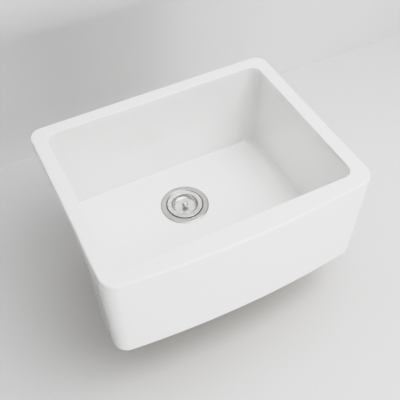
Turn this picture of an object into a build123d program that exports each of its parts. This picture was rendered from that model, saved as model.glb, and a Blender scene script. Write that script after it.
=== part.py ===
from build123d import *
import math
import os

# A kitchen sink with a bowed apron front, and the drain that is clamped into its floor.
# Millimetres. +Z is up, +X to the right and +Y to the back. The origin is on the basin's
# underside, where the cabinet's support frame carries it, BACK_Y in front of the rim's back edge.

# ---- basin, whose outside is drawn in from the full width and depth by these insets ----
SINK_WIDTH = 578.0
SINK_DEPTH = 462.0
SINK_HEIGHT = 248.0
BACK_Y = 230.0
BOW_RADIUS = 2170.0
BACK_CORNER = 28.0
FRONT_CORNER = 32.0
RIM_ROLL = 5.0
BASE_FILLET = 9.0
RIM_BAND = 42.0
BAND_ROUND = 6.0
BAND_STEP = 4.0
WALL_INSET = 10.0
WALL_DRAFT = 14.0
BACK_DRAFT = 8.0
APRON_PROUD = 3.0
END_TAPER = 1.5
TAPER_DEPTH = 30.0
END_DRAFT = 4.0
FRONT_DRAFT = 6.0
APRON_RETURN = 90.0
RETURN_BLEND = 100.0

BOWL_DEPTH = 228.0
SIDE_RIM = 32.0
BACK_RIM = 31.0
FRONT_RIM = 46.0
BOWL_CORNER = 22.0
FLOOR_CORNER = 26.0
BOWL_DRAFT = 8.0
SIDE_COVE = 22.0
END_COVE = 8.0
BOWL_ROLL = 4.0
FLOOR_FALL = 1.2
FALL_RADIUS = 104.0
FLANGE_SEAT_RADIUS = 58.0
RECESS_RADIUS = 62.0
RECESS_DEPTH = 2.0

# ---- strainer, with its heights measured from the bowl's floor ----
DRAIN_Y = 70.0
DRAIN_HOLE_RADIUS = 45.0
SHEET = 1.2
FLANGE_RADIUS = 57.0
FLANGE_FOOT_Z = 0.2
FLANGE_EDGE_Z = 1.2
FLANGE_SHOULDER_RADIUS = 53.5
FLANGE_SHOULDER_Z = 2.4
FLANGE_TOP_Z = 3.4
FLANGE_SEAL_THICKNESS = 1.2
FLANGE_SEAL_RADIUS = 55.2
FLANGE_SEAL_BORE = 45.6
MOUTH_RADIUS = 42.6
MOUTH_ROLL = 2.4
LEDGE_Z = -4.5
CUP_INNER_RADIUS = 40.6
CUP_WALL_RADIUS = 42.4
CUP_THREAD_RADIUS = 43.8
CUP_THREAD_TOP_Z = -10.0
CUP_THREAD_TURNS = 17
CUP_FLOOR_Z = -50.0
CUP_FLOOR_FALL = 1.5
OUTLET_INNER_RADIUS = 20.6
OUTLET_THREAD_RADIUS = 23.8
OUTLET_THREAD_TURNS = 7
OUTLET_END_Z = -69.0
THREAD_PITCH = 2.0
THREAD_DEPTH = 0.8
THREAD_CREST = 0.6
THREAD_LEAD = 0.5
THREAD_PLAY = 0.1

# ---- roundings of the small pieces: outer edges, folds in sheet, and the strainer's own ----
EDGE_ROUND = 0.6
FOLD_ROUND = 0.4
SHOULDER_ROUND = 4.0
CUP_ROUND = 6.0
OUTLET_ROUND = 2.0

# ---- rings and nut that clamp the strainer to the basin ----
RING_BORE = 44.2
GASKET_THICKNESS = 3.0
GASKET_RADIUS = 54.0
FIBRE_THICKNESS = 1.0
FIBRE_RADIUS = 53.0
LOCKNUT_HEIGHT = 13.0
LOCKNUT_RADIUS = 48.5
LOCKNUT_FLANGE_RADIUS = 52.0
LOCKNUT_FLANGE_HEIGHT = 3.0
LUG_COUNT = 8
LUG_REACH_RADIUS = 54.0
LUG_WIDTH = 11.0
LUG_ROOT = 1.0
LUG_MARGIN = 1.0
LUG_ROUND = 2.0

# ---- tailpiece and what holds it ----
TUBE_RADIUS = 19.05
TUBE_WALL = 1.2
TUBE_LENGTH = 101.6
TUBE_FLANGE_RADIUS = 23.2
TUBE_FLANGE_THICKNESS = 1.4
WASHER_THICKNESS = 1.5
SLEEVE_WALL = 1.1
SLEEVE_LENGTH = 9.0
SLEEVE_PLAY = 0.1
COUPLING_TOP_Z = -57.5
COUPLING_RADIUS = 28.0
COUPLING_SHELF = 2.6
COUPLING_PLAY = 0.9
COUPLING_RIBS = 12
COUPLING_ROUND = 1.5
RIB_REACH_RADIUS = 30.2
RIB_WIDTH = 4.0
RIB_ROOT = 1.0
RIB_MARGIN = 1.5
RIB_ROUND = 0.9

# ---- waste basket ----
BASKET_SHEET = 0.8
BASKET_RIM_RADIUS = 42.2
BASKET_TOP_RADIUS = 40.0
BASKET_FOOT_RADIUS = 37.6
BASKET_FOOT_Z = -46.0
BASKET_CORNER = 5.0
BASKET_ROLL = 0.7
BASKET_EDGE = 0.3
HOLE_RADIUS = 2.0
HOLE_CUT = 12.0
HOLE_ROWS = 4
HOLES_IN_ROW = 20
HOLE_ROW_TOP_Z = -13.0
HOLE_ROW_STEP = 7.5
FLOOR_RINGS = 3
FLOOR_RING_STEP = 9.0
BAR_WIDTH = 9.0
BAR_THICKNESS = 1.2
BAR_END_Z = -28.0
BAR_RISE = 6.0
BAR_TAB = 7.0
BAR_PLAY = 0.05

# ---- drain cover ----
COVER_SHEET = 0.9
COVER_RADIUS = 41.6
COVER_TOP_Z = 4.2
SKIRT_FOOT_Z = 1.4
COVER_ROUND = 1.2
DISH_MOUTH_RADIUS = 31.0
DISH_FOOT_RADIUS = 27.5
DISH_FLOOR_Z = -5.5
DISH_CORNER = 8.0
DISH_ROLL = 1.6
SEAL_BORE = 33.2
SEAL_BODY_RADIUS = 39.4
SEAL_NECK_Z = 0.2
SEAL_FOOT_RADIUS = 41.2
SEAL_FOOT_BORE = 38.4
SEAL_FOOT_TOP_Z = -1.6
SEAL_STEP_RADIUS = 36.0
SEAL_STEP_Z = -0.5
SEAL_STEP_ROUND = 1.0
KNOB_RADIUS = 7.0
KNOB_HEIGHT = 9.5
KNOB_TOP_Z = 9.0
KNOB_DOME = 4.6
KNOB_UNDERCUT = 3.8
POST_RADIUS = 2.4
SPIGOT_RADIUS = 1.6
SPIGOT_LENGTH = 4.5
SPIGOT_PLAY = 0.05
RIVET_WASHER_RADIUS = 6.0
RIVET_WASHER_THICKNESS = 1.0
RIVET_HEAD_RADIUS = 2.8
RIVET_HEAD_HEIGHT = 1.1

FLOOR_Z = SINK_HEIGHT - BOWL_DEPTH
HALF_WIDTH = SINK_WIDTH / 2
RIM_HALF_WIDTH = HALF_WIDTH - APRON_PROUD
FRONT_Y = BACK_Y - SINK_DEPTH
RECESS_Z = RECESS_DEPTH - FLOOR_Z
GASKET_FOOT_Z = RECESS_Z - GASKET_THICKNESS
FIBRE_FOOT_Z = GASKET_FOOT_Z - FIBRE_THICKNESS
BASKET_RIM_Z = LEDGE_Z + BASKET_SHEET
COVER_UNDER_Z = COVER_TOP_Z - COVER_SHEET
DISH_UNDER_Z = DISH_FLOOR_Z - COVER_SHEET
KNOB_FOOT_Z = KNOB_TOP_Z - KNOB_HEIGHT
TUBE_TOP_Z = OUTLET_END_Z - WASHER_THICKNESS
TUBE_FLANGE_FOOT_Z = TUBE_TOP_Z - TUBE_FLANGE_THICKNESS


def turned(*corners):
    """A solid turned about Z from corners of (radius, height), or (radius, height, rounding)."""
    profile = make_face(Polyline([corner[:2] for corner in corners], close=True))
    for corner in corners:
        if len(corner) == 3:
            vertex = profile.vertices().sort_by_distance((corner[0], corner[1], 0))[0]
            profile = fillet(vertex, corner[2])
    return revolve(Plane.XZ * profile, Axis.Z)


def thread_corners(crest, top_z, turns):
    """Corners down the outside of a thread, drawn as one closed ring to each turn."""
    flank = (THREAD_PITCH - THREAD_CREST) / 2
    corners = []
    for turn in range(turns):
        z = top_z - turn * THREAD_PITCH
        corners.append((crest - THREAD_DEPTH, z))
        corners.append((crest, z - flank))
        corners.append((crest, z - flank - THREAD_CREST))
    corners.append((crest - THREAD_DEPTH, top_z - turns * THREAD_PITCH))
    return corners


def ring(bore, radius, foot_z, top_z):
    return turned((bore, foot_z), (radius, foot_z), (radius, top_z), (bore, top_z))


def around(shape, count):
    """Copies of shape at even turns about Z."""
    return [Rot(0, 0, 360 / count * index) * shape for index in range(count)]


# ---- basin ----
def corner_arc(centre, start, end):
    radius = (start - centre).length
    middle = centre + (start + end - centre * 2).normalized() * radius
    return ThreePointArc(start, middle, end)


def s_curve(start, end):
    """Two equal arcs that leave start and reach end along Y."""
    middle = (start + end) / 2
    heading = Vector(0, end.Y - start.Y, 0)
    return [TangentArc(start, middle, tangent=heading), TangentArc(end, middle, tangent=-heading)]


def outside_section(z, wall, back, end, front):
    """The outline at height z, with the side walls, back, apron ends and bow drawn in by these insets."""
    wall_x = HALF_WIDTH - wall
    end_x = HALF_WIDTH - end
    back_y = BACK_Y - back
    return_y = FRONT_Y + APRON_RETURN
    blend_y = return_y + RETURN_BLEND

    back_centre = Vector(wall_x - BACK_CORNER, back_y - BACK_CORNER, z)
    bow_middle = Vector(0, FRONT_Y + front, z)
    bow_centre = bow_middle + Vector(0, BOW_RADIUS, 0)
    front_x = end_x - FRONT_CORNER
    front_y = bow_centre.Y - math.sqrt((BOW_RADIUS - FRONT_CORNER) ** 2 - front_x ** 2)
    front_centre = Vector(front_x, front_y, z)

    back_end = Vector(back_centre.X, back_y, z)
    wall_top = Vector(wall_x, back_centre.Y, z)
    wall_foot = Vector(wall_x, blend_y, z)
    end_top = Vector(end_x, return_y, z)
    end_foot = Vector(end_x, front_y, z)
    bow_end = bow_centre + (front_centre - bow_centre).normalized() * BOW_RADIUS

    right = [corner_arc(back_centre, back_end, wall_top), Line(wall_top, wall_foot)]
    right += s_curve(wall_foot, end_top)
    right += [Line(end_top, end_foot), corner_arc(front_centre, end_foot, bow_end)]
    left = [edge.mirror(Plane.YZ) for edge in right]
    bow = ThreePointArc(bow_end, bow_middle, Vector(-bow_end.X, bow_end.Y, z))
    rear = Line(Vector(-back_end.X, back_y, z), back_end)
    return Wire(right + [bow] + left + [rear])


def part_way(depth, start, stop):
    """0 down to start, 1 from stop on, and even between them."""
    return min(max((depth - start) / (stop - start), 0), 1)


def basin_outside():
    """The rim's upright band, the walls set in below it, and the apron, whose returned ends stand proud."""
    band_foot = RIM_BAND + BAND_STEP
    # depth below the rim, then how far the walls are set in under its band there
    levels = [
        (0.0, 0.0),
        (TAPER_DEPTH, 0.0),
        (RIM_BAND - BAND_ROUND, 0.0),
        (RIM_BAND, WALL_INSET / 3),
        (band_foot, WALL_INSET),
        (SINK_HEIGHT, WALL_INSET),
    ]
    sections = []
    for depth, inset in levels:
        drafted = part_way(depth, band_foot, SINK_HEIGHT)
        wall = APRON_PROUD + inset + WALL_DRAFT * drafted
        back = inset + BACK_DRAFT * drafted
        end = END_TAPER * (1 - part_way(depth, 0, TAPER_DEPTH)) + END_DRAFT * drafted
        front = FRONT_DRAFT * depth / SINK_HEIGHT
        sections.append(outside_section(SINK_HEIGHT - depth, wall, back, end, front))
    body = Solid.make_loft(sections, ruled=True)
    body = body.fillet(BASE_FILLET, body.faces().sort_by(Axis.Z)[0].edges())
    return body.fillet(RIM_ROLL, body.faces().sort_by(Axis.Z)[-1].edges())


def rounded_rectangle(half_width, front_y, back_y, z, corner):
    middle_y = (front_y + back_y) / 2
    return (Pos(0, middle_y, z) * RectangleRounded(2 * half_width, back_y - front_y, corner)).wire()


def bowl_space():
    """The space inside the bowl: drafted walls, with wide coves at the sides and narrow ones at the ends."""
    top_x = RIM_HALF_WIDTH - SIDE_RIM
    back_y = BACK_Y - BACK_RIM
    front_y = FRONT_Y + FRONT_RIM
    floor_x = top_x - BOWL_DRAFT
    floor_z = FLOOR_Z + FLOOR_FALL
    slope = BOWL_DRAFT / (SINK_HEIGHT - floor_z)

    # the drafted walls run on down to the underside, where the floor and its coves cut them off
    inset = slope * SINK_HEIGHT
    top = rounded_rectangle(top_x, front_y, back_y, SINK_HEIGHT, BOWL_CORNER)
    foot = rounded_rectangle(top_x - inset, front_y + inset, back_y - inset, 0, FLOOR_CORNER)
    space = Solid.make_loft([top, foot], ruled=True)

    above_z = SINK_HEIGHT + SIDE_RIM
    above_x = top_x + slope * SIDE_RIM
    profile = make_face(Polyline((-floor_x, floor_z), (floor_x, floor_z), (above_x, above_z),
                                 (-above_x, above_z), close=True))
    profile = fillet(profile.vertices().sort_by(Axis.Y)[:2], SIDE_COVE)
    space = (space & extrude(Plane.XZ * profile, SINK_DEPTH, both=True)).solid()

    def at_foot(edge, wall_y):
        box = edge.bounding_box()
        return box.max.Z < floor_z + 2 * SIDE_COVE and abs(edge.center().Y - wall_y) < 2 * BOWL_DRAFT

    feet = [edge for edge in space.edges()
            if at_foot(edge, front_y + BOWL_DRAFT) or at_foot(edge, back_y - BOWL_DRAFT)]
    return space.fillet(END_COVE, feet)


def drain_fall():
    """The shallow cone by which the floor falls to the flat seat around the drain."""
    return turned(
        (0, FLOOR_Z),
        (FLANGE_SEAT_RADIUS, FLOOR_Z),
        (FALL_RADIUS, FLOOR_Z + FLOOR_FALL),
        (0, FLOOR_Z + FLOOR_FALL),
    )


def basin():
    body = basin_outside() - bowl_space()
    body -= Pos(0, DRAIN_Y, SINK_HEIGHT / 2) * Cylinder(DRAIN_HOLE_RADIUS, 2 * SINK_HEIGHT)
    body -= Pos(0, DRAIN_Y, 0) * drain_fall()
    # a shallow recess under the floor keeps the gasket off the face that the basin stands on
    body -= Pos(0, DRAIN_Y, 0) * Cylinder(RECESS_RADIUS, 2 * RECESS_DEPTH)
    body = body.solid()
    top = body.faces().sort_by(Axis.Z)[-1]
    return body.fillet(BOWL_ROLL, top.inner_wires()[0].edges())


# ---- strainer, and what clamps it to the basin ----
def strainer_body():
    floor_z = CUP_FLOOR_Z - SHEET
    outlet_floor_z = CUP_FLOOR_Z - CUP_FLOOR_FALL
    outlet_thread_z = OUTLET_END_Z + THREAD_LEAD + OUTLET_THREAD_TURNS * THREAD_PITCH
    return turned(
        (FLANGE_RADIUS, FLANGE_FOOT_Z),
        (FLANGE_RADIUS, FLANGE_EDGE_Z, EDGE_ROUND),
        (FLANGE_SHOULDER_RADIUS, FLANGE_SHOULDER_Z, SHOULDER_ROUND),
        (MOUTH_RADIUS, FLANGE_TOP_Z, MOUTH_ROLL),
        (MOUTH_RADIUS, LEDGE_Z),
        (CUP_INNER_RADIUS, LEDGE_Z),
        (CUP_INNER_RADIUS, CUP_FLOOR_Z, CUP_ROUND),
        (OUTLET_INNER_RADIUS, outlet_floor_z, OUTLET_ROUND),
        (OUTLET_INNER_RADIUS, OUTLET_END_Z),
        (OUTLET_THREAD_RADIUS - THREAD_DEPTH, OUTLET_END_Z),
        *reversed(thread_corners(OUTLET_THREAD_RADIUS, outlet_thread_z, OUTLET_THREAD_TURNS)),
        (OUTLET_THREAD_RADIUS - THREAD_DEPTH, outlet_floor_z - SHEET, FOLD_ROUND),
        (CUP_WALL_RADIUS, floor_z, CUP_ROUND),
        *reversed(thread_corners(CUP_THREAD_RADIUS, CUP_THREAD_TOP_Z, CUP_THREAD_TURNS)),
        (CUP_THREAD_RADIUS, CUP_THREAD_TOP_Z + THREAD_PITCH / 2),
        (CUP_THREAD_RADIUS, FLANGE_SEAL_THICKNESS),
        (FLANGE_RADIUS - SHEET, FLANGE_SEAL_THICKNESS, FOLD_ROUND),
        (FLANGE_RADIUS - SHEET, FLANGE_FOOT_Z),
    )


def flange_seal():
    return ring(FLANGE_SEAL_BORE, FLANGE_SEAL_RADIUS, 0, FLANGE_SEAL_THICKNESS)


def sink_gasket():
    return ring(RING_BORE, GASKET_RADIUS, GASKET_FOOT_Z, RECESS_Z)


def friction_ring():
    return ring(RING_BORE, FIBRE_RADIUS, FIBRE_FOOT_Z, GASKET_FOOT_Z)


def locknut():
    bore = CUP_THREAD_RADIUS + THREAD_PLAY
    foot_z = FIBRE_FOOT_Z - LOCKNUT_HEIGHT
    flange_z = FIBRE_FOOT_Z - LOCKNUT_FLANGE_HEIGHT
    body = turned(
        (bore, foot_z),
        (LOCKNUT_RADIUS, foot_z, EDGE_ROUND),
        (LOCKNUT_RADIUS, flange_z, EDGE_ROUND),
        (LOCKNUT_FLANGE_RADIUS, flange_z),
        (LOCKNUT_FLANGE_RADIUS, FIBRE_FOOT_Z, EDGE_ROUND),
        (bore, FIBRE_FOOT_Z),
    )
    root_radius = bore + LUG_ROOT
    lug = Box(LUG_REACH_RADIUS - root_radius, LUG_WIDTH, LOCKNUT_HEIGHT - 2 * LUG_MARGIN)
    lug = fillet(lug.edges().filter_by(Axis.Z).group_by(Axis.X)[-1], LUG_ROUND)
    lug = Pos((LUG_REACH_RADIUS + root_radius) / 2, 0, FIBRE_FOOT_Z - LOCKNUT_HEIGHT / 2) * lug
    return body + around(lug, LUG_COUNT)


# ---- tailpiece ----
def tailpiece_washer():
    sleeve_radius = TUBE_RADIUS - TUBE_WALL - SLEEVE_PLAY
    sleeve_bore = sleeve_radius - SLEEVE_WALL
    return turned(
        (sleeve_bore, OUTLET_END_Z, EDGE_ROUND),
        (TUBE_FLANGE_RADIUS, OUTLET_END_Z),
        (TUBE_FLANGE_RADIUS, TUBE_TOP_Z),
        (sleeve_radius, TUBE_TOP_Z),
        (sleeve_radius, TUBE_TOP_Z - SLEEVE_LENGTH),
        (sleeve_bore, TUBE_TOP_Z - SLEEVE_LENGTH),
    )


def tailpiece():
    bore = TUBE_RADIUS - TUBE_WALL
    return turned(
        (bore, TUBE_TOP_Z),
        (TUBE_FLANGE_RADIUS, TUBE_TOP_Z),
        (TUBE_FLANGE_RADIUS, TUBE_FLANGE_FOOT_Z),
        (TUBE_RADIUS, TUBE_FLANGE_FOOT_Z, FOLD_ROUND),
        (TUBE_RADIUS, TUBE_TOP_Z - TUBE_LENGTH),
        (bore, TUBE_TOP_Z - TUBE_LENGTH),
    )


def coupling_nut():
    thread_bore = OUTLET_THREAD_RADIUS + THREAD_PLAY
    tube_bore = TUBE_RADIUS + COUPLING_PLAY
    foot_z = TUBE_FLANGE_FOOT_Z - COUPLING_SHELF
    body = turned(
        (thread_bore, COUPLING_TOP_Z),
        (COUPLING_RADIUS, COUPLING_TOP_Z, EDGE_ROUND),
        (COUPLING_RADIUS, foot_z, COUPLING_ROUND),
        (tube_bore, foot_z),
        (tube_bore, TUBE_FLANGE_FOOT_Z, EDGE_ROUND),
        (thread_bore, TUBE_FLANGE_FOOT_Z),
    )
    height = COUPLING_TOP_Z - foot_z - 2 * RIB_MARGIN
    root_radius = thread_bore + RIB_ROOT
    rib = Box(RIB_REACH_RADIUS - root_radius, RIB_WIDTH, height)
    rib = fillet(rib.edges().group_by(Axis.X)[-1], RIB_ROUND)
    rib = Pos((RIB_REACH_RADIUS + root_radius) / 2, 0, (COUPLING_TOP_Z + foot_z) / 2) * rib
    return body + around(rib, COUPLING_RIBS)


# ---- waste basket ----
def basket_wall_radius(z):
    """The radius of the basket's outer wall at height z."""
    share = (z - BASKET_FOOT_Z) / (LEDGE_Z - BASKET_FOOT_Z)
    return BASKET_FOOT_RADIUS + (BASKET_TOP_RADIUS - BASKET_FOOT_RADIUS) * share


def basket_holes():
    holes = []
    side_hole = Pos(BASKET_FOOT_RADIUS, 0, 0) * Rot(0, 90, 0) * Cylinder(HOLE_RADIUS, HOLE_CUT)
    for row in range(HOLE_ROWS):
        z = HOLE_ROW_TOP_Z - row * HOLE_ROW_STEP
        stagger = Rot(0, 0, 180 / HOLES_IN_ROW * (row % 2))
        holes += around(Pos(0, 0, z) * stagger * side_hole, HOLES_IN_ROW)
    floor_hole = Cylinder(HOLE_RADIUS, HOLE_CUT)
    holes.append(Pos(0, 0, BASKET_FOOT_Z) * floor_hole)
    for circle in range(1, FLOOR_RINGS + 1):
        radius = circle * FLOOR_RING_STEP
        holes += around(Pos(radius, 0, BASKET_FOOT_Z) * floor_hole, 6 * circle)
    return holes


def waste_basket():
    floor_z = BASKET_FOOT_Z + BASKET_SHEET
    shell = turned(
        (0, BASKET_FOOT_Z),
        (BASKET_FOOT_RADIUS, BASKET_FOOT_Z, BASKET_CORNER + BASKET_SHEET),
        (BASKET_TOP_RADIUS, LEDGE_Z),
        (BASKET_RIM_RADIUS, LEDGE_Z),
        (BASKET_RIM_RADIUS, BASKET_RIM_Z, BASKET_EDGE),
        (BASKET_TOP_RADIUS - BASKET_SHEET, BASKET_RIM_Z, BASKET_ROLL),
        (BASKET_FOOT_RADIUS - BASKET_SHEET, floor_z, BASKET_CORNER),
        (0, floor_z),
    )
    return shell - basket_holes()


def basket_bar():
    """An arched strip from wall to wall, with a tab at each end, trimmed to the tapered wall."""
    reach = BASKET_TOP_RADIUS
    foot_z = BAR_END_Z
    crown_z = BAR_END_Z + BAR_RISE
    under = ThreePointArc((-reach, foot_z), (0, crown_z), (reach, foot_z))
    over = ThreePointArc((reach, foot_z + BAR_THICKNESS), (0, crown_z + BAR_THICKNESS),
                         (-reach, foot_z + BAR_THICKNESS))
    sides = [Line(under @ 1, over @ 0), Line(over @ 1, under @ 0)]
    strip = extrude(Plane.XZ * make_face([under, over] + sides), BAR_WIDTH / 2, both=True)
    tab_x = basket_wall_radius(foot_z) - BASKET_SHEET
    tab = Pos(tab_x, 0, foot_z - BAR_TAB / 2 + BAR_THICKNESS) * Box(2 * BAR_THICKNESS, BAR_WIDTH, BAR_TAB)
    trim = BASKET_SHEET + BAR_PLAY
    inside = turned(
        (0, BASKET_FOOT_Z),
        (BASKET_FOOT_RADIUS - trim, BASKET_FOOT_Z),
        (BASKET_TOP_RADIUS - trim, LEDGE_Z),
        (0, LEDGE_Z),
    )
    return (strip + tab + tab.mirror(Plane.YZ)) & inside


# ---- drain cover ----
def dish_under_radius(z):
    """The radius of the outer face of the dish's wall at height z."""
    slope = (DISH_MOUTH_RADIUS - DISH_FOOT_RADIUS) / (COVER_TOP_Z - DISH_FLOOR_Z)
    return DISH_MOUTH_RADIUS - slope * (COVER_TOP_Z - z) + COVER_SHEET * math.hypot(1, slope)


def drain_cover():
    bore = SPIGOT_RADIUS + SPIGOT_PLAY
    return turned(
        (bore, DISH_FLOOR_Z),
        (DISH_FOOT_RADIUS, DISH_FLOOR_Z, DISH_CORNER),
        (DISH_MOUTH_RADIUS, COVER_TOP_Z, DISH_ROLL),
        (COVER_RADIUS, COVER_TOP_Z, COVER_ROUND),
        (COVER_RADIUS, SKIRT_FOOT_Z),
        (COVER_RADIUS - COVER_SHEET, SKIRT_FOOT_Z),
        (COVER_RADIUS - COVER_SHEET, COVER_UNDER_Z, COVER_ROUND - COVER_SHEET),
        (dish_under_radius(COVER_UNDER_Z), COVER_UNDER_Z, DISH_ROLL - COVER_SHEET),
        (dish_under_radius(DISH_UNDER_Z), DISH_UNDER_Z, DISH_CORNER + COVER_SHEET),
        (bore, DISH_UNDER_Z),
    )


def cover_seal():
    return turned(
        (SEAL_BORE, COVER_UNDER_Z),
        (SEAL_BODY_RADIUS, COVER_UNDER_Z),
        (SEAL_BODY_RADIUS, SEAL_NECK_Z),
        (SEAL_FOOT_RADIUS, SEAL_FOOT_TOP_Z, EDGE_ROUND),
        (SEAL_FOOT_RADIUS, BASKET_RIM_Z),
        (SEAL_FOOT_BORE, BASKET_RIM_Z),
        (SEAL_STEP_RADIUS, SEAL_STEP_Z, SEAL_STEP_ROUND),
        (SEAL_BORE, SEAL_STEP_Z),
    )


def cover_post():
    washer_foot_z = DISH_UNDER_Z - RIVET_WASHER_THICKNESS
    head_foot_z = washer_foot_z - RIVET_HEAD_HEIGHT
    return turned(
        (0, head_foot_z),
        (RIVET_HEAD_RADIUS, head_foot_z, EDGE_ROUND),
        (RIVET_HEAD_RADIUS, washer_foot_z),
        (SPIGOT_RADIUS, washer_foot_z),
        (SPIGOT_RADIUS, DISH_FLOOR_Z),
        (POST_RADIUS, DISH_FLOOR_Z),
        (POST_RADIUS, KNOB_FOOT_Z),
        (SPIGOT_RADIUS, KNOB_FOOT_Z),
        (SPIGOT_RADIUS, KNOB_FOOT_Z + SPIGOT_LENGTH),
        (0, KNOB_FOOT_Z + SPIGOT_LENGTH),
    )


def cover_washer():
    washer_foot_z = DISH_UNDER_Z - RIVET_WASHER_THICKNESS
    return ring(SPIGOT_RADIUS + SPIGOT_PLAY, RIVET_WASHER_RADIUS, washer_foot_z, DISH_UNDER_Z)


def cover_knob():
    """A domed button with a blind socket for the post's spigot."""
    socket_radius = SPIGOT_RADIUS + SPIGOT_PLAY
    socket_top_z = KNOB_FOOT_Z + SPIGOT_LENGTH + SPIGOT_PLAY
    return turned(
        (socket_radius, KNOB_FOOT_Z),
        (KNOB_RADIUS, KNOB_FOOT_Z, KNOB_UNDERCUT),
        (KNOB_RADIUS, KNOB_TOP_Z, KNOB_DOME),
        (0, KNOB_TOP_Z),
        (0, socket_top_z),
        (socket_radius, socket_top_z),
    )


DRAIN_PIECES = [
    strainer_body, flange_seal, sink_gasket, friction_ring, locknut,
    tailpiece_washer, tailpiece, coupling_nut,
    waste_basket, basket_bar,
    drain_cover, cover_seal, cover_post, cover_washer, cover_knob,
]

os.makedirs("parts", exist_ok=True)
export_step(basin(), "parts/basin.step")
for piece in DRAIN_PIECES:
    export_step(Pos(0, DRAIN_Y, FLOOR_Z) * piece(), f"parts/{piece.__name__}.step")
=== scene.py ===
"""An apron front kitchen sink of glazed fireclay with its basket strainer, dressed for a studio picture."""

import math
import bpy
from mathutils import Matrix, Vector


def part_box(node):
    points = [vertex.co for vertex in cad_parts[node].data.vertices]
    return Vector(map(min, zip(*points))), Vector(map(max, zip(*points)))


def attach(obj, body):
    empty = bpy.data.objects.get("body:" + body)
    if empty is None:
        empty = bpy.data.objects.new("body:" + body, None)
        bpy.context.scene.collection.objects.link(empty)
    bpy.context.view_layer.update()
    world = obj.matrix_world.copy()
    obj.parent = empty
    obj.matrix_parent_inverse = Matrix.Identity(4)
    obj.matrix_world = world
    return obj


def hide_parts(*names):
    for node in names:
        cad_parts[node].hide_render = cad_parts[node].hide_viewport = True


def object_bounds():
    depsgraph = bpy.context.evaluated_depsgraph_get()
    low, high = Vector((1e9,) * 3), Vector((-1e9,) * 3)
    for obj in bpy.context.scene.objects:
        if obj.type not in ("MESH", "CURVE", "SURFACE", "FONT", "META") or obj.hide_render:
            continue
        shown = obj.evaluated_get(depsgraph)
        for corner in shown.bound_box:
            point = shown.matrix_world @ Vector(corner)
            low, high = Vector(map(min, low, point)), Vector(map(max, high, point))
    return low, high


bl_info = {
    "name": "Apron Front Sink",
    "version": (1, 0, 0),
    "blender": (4, 5, 0),
    "location": "View3D > Sidebar > Sink",
    "description": "Glazes the basin, finishes the strainer's pieces and sets up the studio",
    "category": "Add Mesh",
}

import bmesh
import bpy
from bpy.props import FloatProperty, FloatVectorProperty, PointerProperty
from bpy.types import Operator, Panel, PropertyGroup
from mathutils import Quaternion, Vector, noise

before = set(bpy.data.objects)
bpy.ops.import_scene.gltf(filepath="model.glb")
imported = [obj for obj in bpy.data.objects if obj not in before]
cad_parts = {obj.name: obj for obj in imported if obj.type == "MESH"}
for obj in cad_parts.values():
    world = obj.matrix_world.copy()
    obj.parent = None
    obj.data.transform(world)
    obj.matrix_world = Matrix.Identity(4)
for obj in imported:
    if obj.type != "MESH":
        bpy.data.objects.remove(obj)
CAD_LOW, CAD_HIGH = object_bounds()
BASIN_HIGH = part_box("basin")[1]
STRAINER_LOW, STRAINER_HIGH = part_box("strainer_body")

# ---- the basin's sizes, in metres ----
HALF_WIDTH = BASIN_HIGH.x
DEPTH = 0.462
BACK_Y = BASIN_HIGH.y
FRONT_Y = BACK_Y - DEPTH
HEIGHT = BASIN_HIGH.z
DRAIN = Vector(((STRAINER_LOW.x + STRAINER_HIGH.x) / 2, (STRAINER_LOW.y + STRAINER_HIGH.y) / 2, 0))

# outside: the corners, the rim's upright band, and the walls drawn in under it
BACK_CORNER = 0.028
FRONT_CORNER = 0.032
RIM_ROLL = 0.005
BASE_ROUND = 0.009
RIM_BAND = 0.042
BAND_BLEND = 0.006
BAND_FOOT = 0.046
BAND_TAIL = BAND_BLEND / 3
WALL_INSET = 0.010
WALL_DRAFT = 0.014
BACK_DRAFT = 0.008

# the apron: bowed in plan, its ends a little proud of the band and leaning in towards the foot
BOW_RADIUS = 2.17
APRON_PROUD = 0.003
END_TAPER = 0.0015
TAPER_DEPTH = 0.030
END_DRAFT = 0.004
FRONT_DRAFT = 0.006
APRON_RETURN = 0.090
RETURN_BLEND = 0.100

# the flat of the rim and the bowl; BOWL_ROLL and END_COVE are smaller than the solid basin's
RIM_HALF_WIDTH = HALF_WIDTH - APRON_PROUD
SIDE_RIM = 0.032
BACK_RIM = 0.031
FRONT_RIM = 0.046
BOWL_CORNER = 0.022
FLOOR_CORNER = 0.026
BOWL_DRAFT = 0.008
BOWL_ROLL = 0.0025
SIDE_COVE = 0.022
END_COVE = 0.0045

# the floor, its fall to the flange's seat, the drain hole and the recess under it
SEAT_Z = 0.020
FLOOR_Z = 0.0212
FALL_RADIUS = 0.104
SEAT_RADIUS = 0.058
HOLE_RADIUS = 0.045
HOLE_EDGE = 0.0006
RECESS_RADIUS = 0.062
RECESS_DEPTH = 0.002

# the glaze's ripple fades out from this far round the drain to the seat
CALM_RADIUS = 0.085

# each soft box: degrees round from straight back to the right, degrees above level, distance, width, height
SOFT_BOXES = {
    "top_light": (180, 86, 2.0, 1.8, 1.8),
    "high_front_light": (180, 60, 2.0, 2.2, 1.6),
    "low_front_light": (180, 1, 2.2, 2.4, 0.4),
    "low_right_light": (145, 1, 2.2, 1.6, 0.4),
    "high_right_light": (135, 58, 2.0, 1.8, 1.8),
    "right_light": (75, 30, 2.0, 1.4, 1.4),
}

# the picture's highlights: as bright as the light up to the knee, never brighter than the ceiling
KNEE = 0.62
CEILING = 0.97
BRIGHTEST = 2.0
SHOULDER_STEPS = 8

# the steps along half of an outline, from the middle of the back to the middle of the front
BACK_STEPS = 44
CORNER_STEPS = 14
WALL_STEPS = 40
BLEND_STEPS = 22
END_STEPS = 8
BOW_STEPS = 44

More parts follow.
